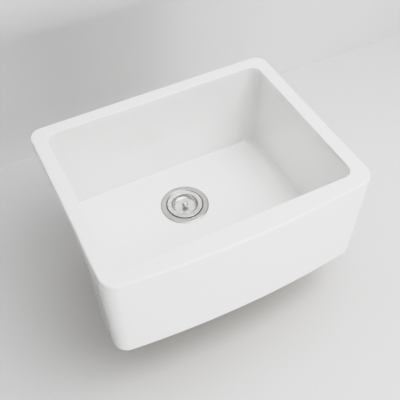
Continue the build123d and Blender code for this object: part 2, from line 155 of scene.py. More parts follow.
# the steps from ring to ring, in the order in which the skin runs through them
BASE_STEPS = 10
LOW_WALL_STEPS = 18
INSET_STEPS = 16
BAND_STEPS = 8
ROLL_STEPS = 8
BOWL_WALL_STEPS = 16
COVE_STEPS = 18

# the rings across each level or gently falling stretch, as shares of the way over it
BASE_SHARES = (0, 0.08, 0.3, 0.6, 0.9)
RIM_SHARES = (0.25, 0.5, 0.75)
FLOOR_SHARES = (0.2, 0.4, 0.6, 0.8, 0.97)
FALL_SHARES = (0, 0.25, 0.5, 0.75, 1)

# points of a skin closer together than this become one
MERGE_DISTANCE = 1e-6

# how bright a finish's second tone is, as a share of its own colour
THIN_GLAZE = 0.985
DARK_CLAY = 0.8
DULL_STEEL = 0.86
TARNISHED_BRASS = 0.55
SOFT_PLATING = 0.93

# how far the glaze's lower edge wanders up, in metres, and how much rougher the bare clay is
FOOT_WANDER = 0.002
CLAY_ROUGHNESS = 0.75

# the fine lines' part in the shade of brushed steel, and how far a moulded surface's roughness varies
FINE_SHARE = 0.6
MOULDED_SPREAD = 0.08

# where most of a noise texture's values lie
NOISE_SPAN = (0.3, 0.7)

# the colour sockets of a Mix node, and the tone curve that moves all three colours
MIX_SHARE, MIX_FIRST, MIX_SECOND, MIX_RESULT = 0, 6, 7, 2
ALL_COLOURS = 3

# how far the floor and the wall reach from their middles, in metres, and the camera's film in millimetres
STAGE_REACH = 6
FILM_WIDTH = 36


# ---- settings a user would change ----
class GlazeSettings(PropertyGroup):
    """The basin's colours and the waves in its fired surface"""
    glaze_colour: FloatVectorProperty(
        name="Glaze", description="Colour of the fired glaze", subtype="COLOR",
        default=(0.93, 0.93, 0.925), min=0, max=1)
    biscuit_colour: FloatVectorProperty(
        name="Biscuit", description="Colour of the bare clay under the basin", subtype="COLOR",
        default=(0.62, 0.56, 0.47), min=0, max=1)
    ripple: FloatProperty(
        name="Ripple", description="How far the fired surface waves inwards", unit="LENGTH",
        default=0.0003, min=0, max=0.002)
    ripple_length: FloatProperty(
        name="Ripple length", description="Distance from wave to wave", unit="LENGTH",
        default=0.11, min=0.01, max=1)
    foot_height: FloatProperty(
        name="Foot height", description="Height above the underside where the glaze stops", unit="LENGTH",
        default=0.0025, min=0, max=0.05)


class MetalSettings(PropertyGroup):
    """The colours of the drain's metals and the pitch of the brush lines"""
    steel_colour: FloatVectorProperty(
        name="Steel", description="Colour of the brushed steel", subtype="COLOR",
        default=(0.59, 0.585, 0.575), min=0, max=1)
    cover_colour: FloatVectorProperty(
        name="Cover steel", description="Colour of the drain cover's finer brushed steel", subtype="COLOR",
        default=(0.66, 0.655, 0.645), min=0, max=1)
    brass_colour: FloatVectorProperty(
        name="Cast brass", description="Colour of the cast locknut", subtype="COLOR",
        default=(0.70, 0.53, 0.28), min=0, max=1)
    plated_colour: FloatVectorProperty(
        name="Plating", description="Colour of the plated tailpiece and coupling nut", subtype="COLOR",
        default=(0.78, 0.79, 0.80), min=0, max=1)
    groove_pitch: FloatProperty(
        name="Brush line pitch", description="Distance between brush lines on the turned steel",
        unit="LENGTH", default=0.00045, min=0.0001, max=0.01)


class SoftSettings(PropertyGroup):
    """The colours of the seals, the fibre ring and the plastic washer"""
    rubber_colour: FloatVectorProperty(
        name="Rubber", description="Colour of the seals and the gasket", subtype="COLOR",
        default=(0.028, 0.028, 0.030), min=0, max=1)
    fibre_colour: FloatVectorProperty(
        name="Fibre", description="Colour of the pressed fibre ring", subtype="COLOR",
        default=(0.40, 0.27, 0.17), min=0, max=1)
    plastic_colour: FloatVectorProperty(
        name="Plastic", description="Colour of the tailpiece washer", subtype="COLOR",
        default=(0.84, 0.84, 0.81), min=0, max=1)


class StudioSettings(PropertyGroup):
    """Where the camera, the floor and the wall stand, and how strong the lights are"""
    camera_place: FloatVectorProperty(
        name="Camera", description="Where the camera stands", subtype="TRANSLATION",
        default=(-0.3974, -0.8073, 1.1669))
    camera_heading: FloatProperty(
        name="Heading", description="Turn of the view from straight back to the right", subtype="ANGLE",
        default=math.radians(26.51))
    camera_tilt: FloatProperty(
        name="Tilt", description="How far the view looks down", subtype="ANGLE",
        default=math.radians(49.59))
    camera_roll: FloatProperty(
        name="Roll", description="Turn of the picture about its middle", subtype="ANGLE",
        default=math.radians(-0.83))
    camera_lens: FloatProperty(name="Lens", description="Focal length in millimetres", default=57.0, min=1)
    floor_gap: FloatProperty(
        name="Floor gap", description="Gap between the tailpiece's end and the floor", unit="LENGTH",
        default=0.004, min=0)
    wall_distance: FloatProperty(
        name="Wall", description="Distance from the origin back to the wall", unit="LENGTH", default=0.573)
    wall_turn: FloatProperty(
        name="Wall turn", description="Turn of the wall about the upright", subtype="ANGLE",
        default=math.radians(-0.9))
    floor_colour: FloatVectorProperty(
        name="Floor", description="Colour of the floor", subtype="COLOR",
        default=(0.745, 0.745, 0.745), min=0, max=1)
    wall_colour: FloatVectorProperty(
        name="Wall colour", description="Colour of the wall", subtype="COLOR",
        default=(0.69, 0.69, 0.69), min=0, max=1)
    room_light: FloatProperty(
        name="Room light", description="Strength of the even light", default=0.15, min=0)
    top_light: FloatProperty(
        name="Top light", description="Power of the soft box straight above", unit="POWER",
        default=6.8, min=0)
    high_front_light: FloatProperty(
        name="High front light", description="Power of the soft box above the front", unit="POWER",
        default=12.6, min=0)
    low_front_light: FloatProperty(
        name="Low front light", description="Power of the soft box before the apron", unit="POWER",
        default=16.9, min=0)
    low_right_light: FloatProperty(
        name="Low right light", description="Power of the low soft box at the front right", unit="POWER",
        default=5.6, min=0)
    high_right_light: FloatProperty(
        name="High right light", description="Power of the high soft box at the front right", unit="POWER",
        default=22.1, min=0)
    right_light: FloatProperty(
        name="Right light", description="Power of the soft box at the right", unit="POWER",
        default=1.7, min=0)


# ---- the basin's outline at a height ----
def between(a, b, share):
    """The value this share of the way from a to b."""
    return a + (b - a) * share


def eased(value, start, stop):
    """0 before start, 1 after stop, and smooth between them."""
    share = min(max((value - start) / (stop - start), 0), 1)
    return share * share * (3 - 2 * share)


def line(start, end, steps):
    """Points from start up to but not including end."""
    return [start.lerp(end, step / steps) for step in range(steps)]


def arc(centre, radius, first, last, steps):
    """Points of an arc from the first angle up to but not including the last."""
    angles = [between(first, last, step / steps) for step in range(steps)]
    return [centre + radius * Vector((math.cos(angle), math.sin(angle))) for angle in angles]


def s_bend(start, end, steps):
    """Points that leave start and reach end along Y, up to but not including end."""
    points = []
    for step in range(steps):
        share = step / steps
        across = 2 * share ** 2 if share < 0.5 else 1 - 2 * (1 - share) ** 2
        points.append(Vector((between(start.x, end.x, across), between(start.y, end.y, share))))
    return points


def mirrored(half):
    """The whole outline from its right half, which runs from the middle of the back to the front's."""
    left = [Vector((-point.x, point.y)) for point in reversed(half[1:-1])]
    return half + left


def outside_outline(z):
    """The outside of the basin at height z: upright rim band, walls set in under it, and bowed apron."""
    depth = HEIGHT - z
    drafted = max(0, (depth - BAND_FOOT) / (HEIGHT - BAND_FOOT))
    under_band = WALL_INSET * eased(depth, RIM_BAND - BAND_BLEND, BAND_FOOT + BAND_TAIL)
    tapered = END_TAPER * (1 - eased(depth, 0, TAPER_DEPTH))
    wall_x = RIM_HALF_WIDTH - under_band - WALL_DRAFT * drafted
    back_y = BACK_Y - under_band - BACK_DRAFT * drafted
    end_x = HALF_WIDTH - tapered - END_DRAFT * drafted
    return_y = FRONT_Y + APRON_RETURN
    front_y = FRONT_Y + FRONT_DRAFT * depth / HEIGHT

    bow_centre = Vector((0, front_y + BOW_RADIUS))
    corner_x = end_x - FRONT_CORNER
    corner_y = bow_centre.y - math.sqrt((BOW_RADIUS - FRONT_CORNER) ** 2 - corner_x ** 2)
    back_corner = Vector((wall_x - BACK_CORNER, back_y - BACK_CORNER))
    front_corner = Vector((corner_x, corner_y))
    bow_angle = math.atan2(corner_y - bow_centre.y, corner_x)

    blend_start = Vector((wall_x, return_y + RETURN_BLEND))
    blend_end = Vector((end_x, return_y))
    half = line(Vector((0, back_y)), Vector((back_corner.x, back_y)), BACK_STEPS)
    half += arc(back_corner, BACK_CORNER, math.pi / 2, 0, CORNER_STEPS)
    half += line(Vector((wall_x, back_corner.y)), blend_start, WALL_STEPS)
    half += s_bend(blend_start, blend_end, BLEND_STEPS)
    half += line(blend_end, Vector((end_x, corner_y)), END_STEPS)
    half += arc(front_corner, FRONT_CORNER, 0, bow_angle, CORNER_STEPS)
    half += arc(bow_centre, BOW_RADIUS, bow_angle, -math.pi / 2, BOW_STEPS)
    half.append(Vector((0, front_y)))
    return mirrored(half)


def cove_reach(radius, height):
    """How far a cove of this radius has come in from the wall at this height above the floor."""
    rise = max(0, radius - height)
    return radius - math.sqrt(radius ** 2 - rise ** 2)


def inside_outline(z):
    """The inside of the bowl at height z: a rounded rectangle, drawn in near the floor by its coves."""
    down = (HEIGHT - z) / (HEIGHT - FLOOR_Z)
    side_reach = cove_reach(SIDE_COVE, z - FLOOR_Z)
    end_reach = cove_reach(END_COVE, z - FLOOR_Z)
    half_x = RIM_HALF_WIDTH - SIDE_RIM - BOWL_DRAFT * down - side_reach
    back_y = BACK_Y - BACK_RIM - BOWL_DRAFT * down - end_reach
    front_y = FRONT_Y + FRONT_RIM + BOWL_DRAFT * down + end_reach
    corner = between(BOWL_CORNER, FLOOR_CORNER, down) - end_reach

    back_corner = Vector((half_x - corner, back_y - corner))
    front_corner = Vector((half_x - corner, front_y + corner))
    half = line(Vector((0, back_y)), Vector((back_corner.x, back_y)), BACK_STEPS)
    half += arc(back_corner, corner, math.pi / 2, 0, CORNER_STEPS)
    half += line(Vector((half_x, back_corner.y)), Vector((half_x, front_corner.y)),
                 WALL_STEPS + BLEND_STEPS + END_STEPS)
    half += arc(front_corner, corner, 0, -math.pi / 2, CORNER_STEPS)
    half += line(Vector((front_corner.x, front_y)), Vector((0, front_y)), BOW_STEPS)
    half.append(Vector((0, front_y)))
    return mirrored(half)


def grown(outline, distance):
    """The outline moved outwards by a distance, or inwards by a negative one."""
    moved = []
    for index, point in enumerate(outline):
        along = (outline[(index + 1) % len(outline)] - outline[index - 1]).normalized()
        moved.append(point + distance * Vector((-along.y, along.x)))
    return moved


def drain_ring(outline, radius):
    """A ring round the drain with one point for each point of the outline, in the same direction."""
    middle = DRAIN.xy
    return [middle + radius * (point - middle).normalized() for point in outline]


def lifted(outline, z):
    """The flat outline as points in space at height z."""
    return [Vector((point.x, point.y, z)) for point in outline]


def spread(start, end, shares):
    """The rings that lie these shares of the way from the start ring to the end ring."""
    return [[a.lerp(b, share) for a, b in zip(start, end)] for share in shares]


def quarter_turn(steps):
    """The angles of a quarter turn, from 0 up to and including the last."""
    return [math.pi / 2 * turn / steps for turn in range(steps + 1)]


# ---- the rings of the basin's skin, from the drain hole round to the drain hole again ----
def underside_rings():
    """Out from the drain hole over the recess and the flat base, and round its edge."""
    base = grown(outside_outline(BASE_ROUND), -BASE_ROUND)
    rings = []
    for radius in (HOLE_RADIUS + HOLE_EDGE, RECESS_RADIUS):
        rings.append(lifted(drain_ring(base, radius), RECESS_DEPTH))
    rings += [lifted(ring, 0) for ring in spread(drain_ring(base, RECESS_RADIUS), base, BASE_SHARES)]
    for angle in quarter_turn(BASE_STEPS)[:-1]:
        z = BASE_ROUND * (1 - math.cos(angle))
        rings.append(lifted(grown(outside_outline(z), -BASE_ROUND * (1 - math.sin(angle))), z))
    return rings


def outside_rings():
    """Up the walls and the apron, past the foot of the rim's band, to where the rim's roll starts."""
    stretches = (
        (HEIGHT - BASE_ROUND, BAND_FOOT + BAND_BLEND, LOW_WALL_STEPS),
        (BAND_FOOT + BAND_BLEND, RIM_BAND - 2 * BAND_BLEND, INSET_STEPS),
        (RIM_BAND - 2 * BAND_BLEND, RIM_ROLL, BAND_STEPS),
    )
    rings = []
    for deep, shallow, steps in stretches:
        for step in range(steps):
            z = HEIGHT - between(deep, shallow, step / steps)
            rings.append(lifted(outside_outline(z), z))
    return rings


def rim_rings():
    """Over the rim: its outer roll, its flat and the roll into the bowl."""
    rings = []
    for angle in quarter_turn(ROLL_STEPS):
        z = HEIGHT - RIM_ROLL * (1 - math.sin(angle))
        rings.append(lifted(grown(outside_outline(z), -RIM_ROLL * (1 - math.cos(angle))), z))
    flat_inside = lifted(grown(inside_outline(HEIGHT), BOWL_ROLL), HEIGHT)
    rings += spread(rings[-1], flat_inside, RIM_SHARES)
    for angle in quarter_turn(ROLL_STEPS):
        z = HEIGHT - BOWL_ROLL * (1 - math.cos(angle))
        rings.append(lifted(grown(inside_outline(z), BOWL_ROLL * (1 - math.sin(angle))), z))
    return rings


def bowl_rings():
    """Down the bowl's walls and round the coves at their foot."""
    rings = []
    for step in range(1, BOWL_WALL_STEPS):
        z = between(HEIGHT - BOWL_ROLL, FLOOR_Z + SIDE_COVE, step / BOWL_WALL_STEPS)
        rings.append(lifted(inside_outline(z), z))
    for turn in range(COVE_STEPS + 1):
        angle = math.pi / 2 * (1 - turn / COVE_STEPS)
        z = FLOOR_Z + SIDE_COVE * (1 - math.cos(angle))
        rings.append(lifted(inside_outline(z), z))
    return rings


def floor_rings():
    """In over the floor, down its fall to the flange's seat, and down the drain hole."""
    floor = inside_outline(FLOOR_Z)
    fall = drain_ring(floor, FALL_RADIUS)
    rings = [lifted(ring, FLOOR_Z) for ring in spread(floor, fall, FLOOR_SHARES)]
    for share in FALL_SHARES:
        radius = between(FALL_RADIUS, SEAT_RADIUS, share)
        rings.append(lifted(drain_ring(floor, radius), between(FLOOR_Z, SEAT_Z, eased(share, 0, 1))))
    rings.append(lifted(drain_ring(floor, HOLE_RADIUS + HOLE_EDGE), SEAT_Z))
    for z in (SEAT_Z - HOLE_EDGE, SEAT_Z / 2, RECESS_DEPTH + HOLE_EDGE):
        rings.append(lifted(drain_ring(floor, HOLE_RADIUS), z))
    return rings


# ---- meshes and materials ----
def skin_through(rings):
    """A closed skin that runs through the rings in turn and from the last one back to the first."""
    skin = bmesh.new()
    station = skin.verts.layers.int.new("station")
    bmesh.ops.create_circle(skin, segments=len(rings[0]), radius=1)
    skin.verts.ensure_lookup_table()
    for index, vertex in enumerate(skin.verts):
        vertex[station] = index
        vertex.co = rings[0][index]
    edges = list(skin.edges)
    for ring in rings[1:] + rings[:1]:
        made = bmesh.ops.extrude_edge_only(skin, edges=edges)["geom"]
        for vertex in made:
            if isinstance(vertex, bmesh.types.BMVert):
                vertex.co = ring[vertex[station]]
        edges = [edge for edge in made if isinstance(edge, bmesh.types.BMEdge)]
    bmesh.ops.remove_doubles(skin, verts=skin.verts, dist=MERGE_DISTANCE)
    bmesh.ops.recalc_face_normals(skin, faces=skin.faces)
    return skin


def piece_from(skin, name):
    """A smooth object made from the skin, which is used up."""
    mesh = bpy.data.meshes.new(name)
    skin.to_mesh(mesh)
    skin.free()
    mesh.shade_smooth()
    piece = bpy.data.objects.new(name, mesh)
    bpy.context.scene.collection.objects.link(piece)
    return piece


def set_inputs(node, **values):
    """Sets a node's sockets by name, where an underscore stands for a space."""
    for name, value in values.items():
        node.inputs[name.replace("_", " ")].default_value = value


def rgba(colour):
    """The colour with an alpha of 1."""
    return (*colour, 1)


def toned(colour, share):
    """The colour at this share of its brightness, with an alpha of 1."""
    return rgba([channel * share for channel in colour])


class Tree:
    """A node tree with short ways to add nodes with their settings and links."""

    def __init__(self, tree):
        self.tree = tree

    def link(self, source, socket):
        """Links one node's output to another's input."""
        self.tree.links.new(source, socket)

    def fill(self, sockets, values):
        """Gives each socket its value, or a link where the value is a node's output."""
        for socket, value in zip(sockets, values):
            if isinstance(value, bpy.types.NodeSocket):
                self.link(value, socket)
            else:
                socket.default_value = value

    def add(self, kind, links=(), settings=(), **values):
        """A new node with these settings, socket values and links into its sockets."""
        node = self.tree.nodes.new(kind)
        for name, value in dict(settings).items():
            setattr(node, name, value)
        set_inputs(node, **values)
        for socket, source in dict(links).items():
            self.link(source, node.inputs[socket])
        return node

    def math(self, operation, first, second, clamp=False):
        """The result of a Math node on two values or outputs."""
        node = self.add("ShaderNodeMath", settings={"operation": operation, "use_clamp": clamp})
        self.fill(node.inputs, (first, second))
        return node.outputs[0]

    def ramp(self, value, low, high, span=(0.0, 1.0)):
        """The value mapped from the span to the range from low to high, and held within that."""
        node = self.add("ShaderNodeMapRange", {"Value": value},
                        From_Min=span[0], From_Max=span[1], To_Min=low, To_Max=high)
        return node.outputs["Result"]

    def mix(self, share, first, second):
        """The colour this share of the way from the first to the second."""
        node = self.add("ShaderNodeMix", settings={"data_type": "RGBA"})
        sockets = [node.inputs[index] for index in (MIX_SHARE, MIX_FIRST, MIX_SECOND)]
        self.fill(sockets, (share, first, second))
        return node.outputs[MIX_RESULT]


def new_group(name, inputs, outputs):
    """An empty shader group with named sockets, and its inside input and output nodes."""
    group = bpy.data.node_groups.new(name, "ShaderNodeTree")
    for socket, kind in inputs:
        group.interface.new_socket(socket, in_out="INPUT", socket_type=kind)
    for socket in outputs:
        group.interface.new_socket(socket, in_out="OUTPUT", socket_type="NodeSocketFloat")
    tree = Tree(group)
    return group, tree, tree.add("NodeGroupInput"), tree.add("NodeGroupOutput")


def brush_lines_group():
    """Fine rings round the drain's axis, as a lathe or a turning brush leaves them."""
    if "brush_lines" in bpy.data.node_groups:
        return bpy.data.node_groups["brush_lines"]
    group, tree, given, result = new_group(
        "brush_lines", (("Vector", "NodeSocketVector"), ("Pitch", "NodeSocketFloat")), ("Height", "Shade"))
    parts = tree.add("ShaderNodeSeparateXYZ", {"Vector": given.outputs["Vector"]})
    flat = tree.add("ShaderNodeCombineXYZ", {"X": parts.outputs["X"], "Y": parts.outputs["Y"]})
    radius = tree.add("ShaderNodeVectorMath", {"Vector": flat.outputs["Vector"]}, {"operation": "LENGTH"})
    across = tree.math("DIVIDE", radius.outputs["Value"], given.outputs["Pitch"])
    along = tree.math("DIVIDE", parts.outputs["Z"], given.outputs["Pitch"])
    turned = tree.add("ShaderNodeCombineXYZ", {"X": across, "Z": along})
    fine = tree.add("ShaderNodeTexNoise", {"Vector": turned.outputs["Vector"]}, Scale=1.0, Detail=2.0)
    # a slow noise in the round breaks the rings up, as a brush does where it lifts
    drift = tree.add("ShaderNodeTexNoise", {"Vector": given.outputs["Vector"]}, Scale=60.0, Detail=2.0)
    broken = tree.math("MULTIPLY", fine.outputs["Fac"], tree.ramp(drift.outputs["Fac"], low=0.6, high=1.0))
    shade = tree.math("ADD", tree.math("MULTIPLY", fine.outputs["Fac"], FINE_SHARE),
                      tree.math("MULTIPLY", drift.outputs["Fac"], 1 - FINE_SHARE))
    tree.link(broken, result.inputs["Height"])
    tree.link(shade, result.inputs["Shade"])
    return group


def mottle_group():
    """Soft clouds and a fine grain over them, for cast, moulded and fired surfaces."""
    if "mottle" in bpy.data.node_groups:
        return bpy.data.node_groups["mottle"]
    group, tree, given, result = new_group(
        "mottle",
        (("Vector", "NodeSocketVector"), ("Cloud Scale", "NodeSocketFloat"),
         ("Grain Scale", "NodeSocketFloat")),
        ("Clouds", "Grain"))
    clouds = tree.add("ShaderNodeTexNoise",
                      {"Vector": given.outputs["Vector"], "Scale": given.outputs["Cloud Scale"]}, Detail=3.0)
    grain = tree.add("ShaderNodeTexNoise",
                     {"Vector": given.outputs["Vector"], "Scale": given.outputs["Grain Scale"]}, Detail=4.0)
    tree.link(clouds.outputs["Fac"], result.inputs["Clouds"])
    tree.link(grain.outputs["Fac"], result.inputs["Grain"])
    return group


class Finish:
    """A new material with its shader, and the object's own coordinates measured from the drain's axis."""

    def __init__(self, name):
        self.material = bpy.data.materials.new(name)
        self.material.use_nodes = True
        self.tree = Tree(self.material.node_tree)
        self.shader = self.material.node_tree.nodes["Principled BSDF"]
        place = self.tree.add("ShaderNodeTexCoord").outputs["Object"]
        self.place = self.tree.add("ShaderNodeMapping", {"Vector": place}, Location=-DRAIN).outputs["Vector"]

    def group(self, group, **values):
        """The outputs of a shader group laid over the object, with these values in its sockets."""
        node = self.tree.add("ShaderNodeGroup", {"Vector": self.place}, {"node_tree": group}, **values)
        return node.outputs

    def feed(self, socket, source):
        """Links a source to one of the shader's sockets."""
        self.tree.link(source, self.shader.inputs[socket])

    def bump(self, height, strength, distance):
        """Bumps the surface by a height that changes over it, where 1 is the distance in metres."""
        node = self.tree.add("ShaderNodeBump", {"Height": height}, Strength=strength, Distance=distance)
        self.feed("Normal", node.outputs["Normal"])


def fired_glaze(settings):
    """White glaze that thins a little in clouds, over clay that shows bare at the foot."""
    finish = Finish("fired_glaze")
    tree = finish.tree
    mottle = finish.group(mottle_group(), Cloud_Scale=7.0, Grain_Scale=420.0)
    white = settings.glaze_colour
    glaze = tree.mix(mottle["Clouds"], rgba(white), toned(white, THIN_GLAZE))
    buff = settings.biscuit_colour
    clay = tree.mix(mottle["Grain"], rgba(buff), toned(buff, DARK_CLAY))

    # the clay is bare below an edge that wanders round the foot
    edge = tree.math("ADD", tree.math("MULTIPLY", mottle["Clouds"], FOOT_WANDER), settings.foot_height)
    height = tree.add("ShaderNodeSeparateXYZ", {"Vector": finish.place}).outputs["Z"]
    bare = tree.math("LESS_THAN", height, edge)
    gloss = tree.ramp(mottle["Clouds"], low=0.10, high=0.17, span=(0.35, 0.65))
    roughness = tree.math("ADD", tree.math("MULTIPLY", bare, CLAY_ROUGHNESS), gloss, clamp=True)
    finish.feed("Base Color", tree.mix(bare, glaze, clay))
    finish.feed("Roughness", roughness)
    finish.feed("Coat Weight", tree.math("SUBTRACT", 1.0, bare))
    set_inputs(finish.shader, Coat_Roughness=0.035, Coat_IOR=1.5, IOR=1.5)
    grain = tree.math("MULTIPLY", mottle["Grain"], tree.ramp(bare, low=0.05, high=1.0))
    finish.bump(grain, strength=0.25, distance=0.0002)
    return finish.material


def brushed_steel(name, colour, pitch, roughness, line_depth):
    """Stainless steel with fine lines turned about the drain's axis."""
    finish = Finish(name)
    tree = finish.tree
    lines = finish.group(brush_lines_group(), Pitch=pitch)
    finish.feed("Base Color", tree.mix(lines["Shade"], toned(colour, DULL_STEEL), rgba(colour)))
    finish.feed("Roughness", tree.ramp(lines["Shade"], low=roughness * 0.8, high=roughness * 1.25,
                                       span=NOISE_SPAN))
    set_inputs(finish.shader, Metallic=1.0)
    finish.bump(lines["Height"], strength=line_depth, distance=0.0002)
    return finish.material


def cast_brass(settings):
    """Sand-cast brass, dull and a little pitted."""
    finish = Finish("cast_brass")
    tree = finish.tree
    mottle = finish.group(mottle_group(), Cloud_Scale=45.0, Grain_Scale=900.0)
    brass = settings.brass_colour
    patches = tree.ramp(mottle["Clouds"], low=0.0, high=1.0, span=(0.35, 0.7))
    finish.feed("Base Color", tree.mix(patches, rgba(brass), toned(brass, TARNISHED_BRASS)))
    finish.feed("Roughness", tree.ramp(mottle["Grain"], low=0.38, high=0.62, span=NOISE_SPAN))
    set_inputs(finish.shader, Metallic=1.0)
    finish.bump(mottle["Grain"], strength=0.45, distance=0.0004)
    return finish.material


def bright_plating(settings):
    """Bright plating over tube and nut, with the faint lines of the polishing under it."""
    finish = Finish("bright_plating")
    tree = finish.tree
    polish_pitch = settings.groove_pitch * 2
    lines = finish.group(brush_lines_group(), Pitch=polish_pitch)
    mottle = finish.group(mottle_group(), Cloud_Scale=30.0, Grain_Scale=600.0)
    plating = settings.plated_colour
    finish.feed("Base Color", tree.mix(mottle["Clouds"], rgba(plating), toned(plating, SOFT_PLATING)))
    finish.feed("Roughness", tree.ramp(mottle["Clouds"], low=0.07, high=0.16, span=NOISE_SPAN))
    set_inputs(finish.shader, Metallic=1.0)
    finish.bump(lines["Height"], strength=0.06, distance=0.0001)
    return finish.material


def moulded(name, colour, roughness, grain_depth, worn):
    """Moulded rubber, plastic or pressed fibre: a matt colour with worn clouds, and a fine grain."""
    finish = Finish(name)
    tree = finish.tree
    mottle = finish.group(mottle_group(), Cloud_Scale=70.0, Grain_Scale=1500.0)
    finish.feed("Base Color", tree.mix(mottle["Clouds"], rgba(colour), toned(colour, worn)))
    finish.feed("Roughness", tree.ramp(mottle["Grain"], low=roughness - MOULDED_SPREAD,
                                       high=roughness + MOULDED_SPREAD, span=NOISE_SPAN))
    finish.bump(mottle["Grain"], strength=grain_depth, distance=0.0003)
    return finish.material


def one_sided(name, colour):
    """A plain matt stage surface that isn't seen from behind, so that every side of the sink can be."""
    material = bpy.data.materials.new(name)
    material.use_nodes = True
    tree = Tree(material.node_tree)
    shader = material.node_tree.nodes["Principled BSDF"]
    set_inputs(shader, Base_Color=rgba(colour), Roughness=0.9, Specular_IOR_Level=0.1)
    clear = tree.add("ShaderNodeBsdfTransparent")
    behind = tree.add("ShaderNodeNewGeometry").outputs["Backfacing"]
    mix = tree.add("ShaderNodeMixShader")
    tree.fill(mix.inputs, (behind, shader.outputs["BSDF"], clear.outputs["BSDF"]))
    output = material.node_tree.nodes["Material Output"]
    tree.link(mix.outputs["Shader"], output.inputs["Surface"])
    return material


def finish_nodes(material, *names):
    """Gives CAD nodes a material in place of the plain one that they come with."""
    for name in names:
        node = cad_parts[name]
        if not node.material_slots:
            node.data.materials.append(material)
        for material_slot in node.material_slots:
            material_slot.material = material


# ---- one operator for each piece or group of like pieces ----
class SINK_OT_glaze_basin(Operator):
    """Makes the basin's fired skin, with its soft edges, and glazes it"""
    bl_idname = "sink.glaze_basin"
    bl_label = "Glaze Basin"

    def execute(self, context):
        settings = context.scene.sink_glaze
        skin = skin_through(
            underside_rings() + outside_rings() + rim_rings() + bowl_rings() + floor_rings())
        skin.normal_update()
        moves = []
        for vertex in skin.verts:
            calm = eased((vertex.co.xy - DRAIN.xy).length, SEAT_RADIUS, CALM_RADIUS)
            wave = 0.5 + 0.5 * noise.noise(vertex.co / settings.ripple_length)
            moves.append(-vertex.normal * settings.ripple * wave * calm)
        for vertex, move in zip(skin.verts, moves):
            vertex.co += move
        basin = piece_from(skin, "glazed_basin")
        basin.data.materials.append(fired_glaze(settings))
        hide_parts("basin")
        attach(basin, "sink")
        return {"FINISHED"}


class SINK_OT_brush_strainer(Operator):
    """Brushes the strainer's flange and cup"""
    bl_idname = "sink.brush_strainer"
    bl_label = "Brush Strainer"

    def execute(self, context):
        settings = context.scene.sink_metal
        steel = brushed_steel("strainer_steel", settings.steel_colour, settings.groove_pitch,
                              roughness=0.30, line_depth=0.22)
        finish_nodes(steel, "strainer_body")
        return {"FINISHED"}


class SINK_OT_brush_basket(Operator):
    """Brushes the waste basket and its bar"""
    bl_idname = "sink.brush_basket"
    bl_label = "Brush Basket"

    def execute(self, context):
        settings = context.scene.sink_metal
        steel = brushed_steel("basket_steel", settings.steel_colour, settings.groove_pitch,
                              roughness=0.26, line_depth=0.12)
        finish_nodes(steel, "waste_basket", "basket_bar")
        return {"FINISHED"}


class SINK_OT_brush_cover(Operator):
    """Brushes the drain cover and the washer under it"""
    bl_idname = "sink.brush_cover"
    bl_label = "Brush Cover"

    def execute(self, context):
        settings = context.scene.sink_metal
        steel = brushed_steel("cover_steel", settings.cover_colour, settings.groove_pitch,
                              roughness=0.27, line_depth=0.16)
        finish_nodes(steel, "drain_cover", "cover_washer")
        return {"FINISHED"}


class SINK_OT_polish_knob(Operator):
    """Polishes the knob and its post"""
    bl_idname = "sink.polish_knob"
    bl_label = "Polish Knob"

    def execute(self, context):
        settings = context.scene.sink_metal
        steel = brushed_steel("knob_steel", settings.cover_colour, settings.groove_pitch,
                              roughness=0.16, line_depth=0.05)
        finish_nodes(steel, "cover_knob", "cover_post")
        return {"FINISHED"}


class SINK_OT_finish_seals(Operator):
    """Gives the seals and the gasket their rubber"""
    bl_idname = "sink.finish_seals"
    bl_label = "Finish Seals"

    def execute(self, context):
        rubber = moulded("seal_rubber", context.scene.sink_soft.rubber_colour,
                         roughness=0.58, grain_depth=0.35, worn=1.5)
        finish_nodes(rubber, "flange_seal", "sink_gasket", "cover_seal")
        return {"FINISHED"}


class SINK_OT_finish_friction_ring(Operator):
    """Gives the friction ring its pressed fibre"""
    bl_idname = "sink.finish_friction_ring"
    bl_label = "Finish Friction Ring"

    def execute(self, context):
        fibre = moulded("pressed_fibre", context.scene.sink_soft.fibre_colour,
                        roughness=0.86, grain_depth=0.8, worn=0.7)
        finish_nodes(fibre, "friction_ring")
        return {"FINISHED"}


class SINK_OT_finish_nuts(Operator):
    """Finishes the cast locknut, and the plated coupling nut and tailpiece"""
    bl_idname = "sink.finish_nuts"
    bl_label = "Finish Nuts"

    def execute(self, context):
        settings = context.scene.sink_metal
        finish_nodes(cast_brass(settings), "locknut")
        finish_nodes(bright_plating(settings), "coupling_nut", "tailpiece")
        return {"FINISHED"}


class SINK_OT_finish_tailpiece_washer(Operator):
    """Gives the tailpiece washer its moulded plastic"""
    bl_idname = "sink.finish_tailpiece_washer"
    bl_label = "Finish Tailpiece Washer"

    def execute(self, context):
        plastic = moulded("white_plastic", context.scene.sink_soft.plastic_colour,
                          roughness=0.5, grain_depth=0.15, worn=0.96)
        finish_nodes(plastic, "tailpiece_washer")
        return {"FINISHED"}


def stage_plane(name, place, turn, material):
    """A large square of the stage, facing up, then turned and moved to its place."""
    sheet = bmesh.new()
    bmesh.ops.create_grid(sheet, x_segments=1, y_segments=1, size=STAGE_REACH)
    bmesh.ops.rotate(sheet, verts=sheet.verts, cent=(0, 0, 0), matrix=turn.to_matrix())
    bmesh.ops.translate(sheet, verts=sheet.verts, vec=place)
    plane = piece_from(sheet, name)
    plane.data.materials.append(material)


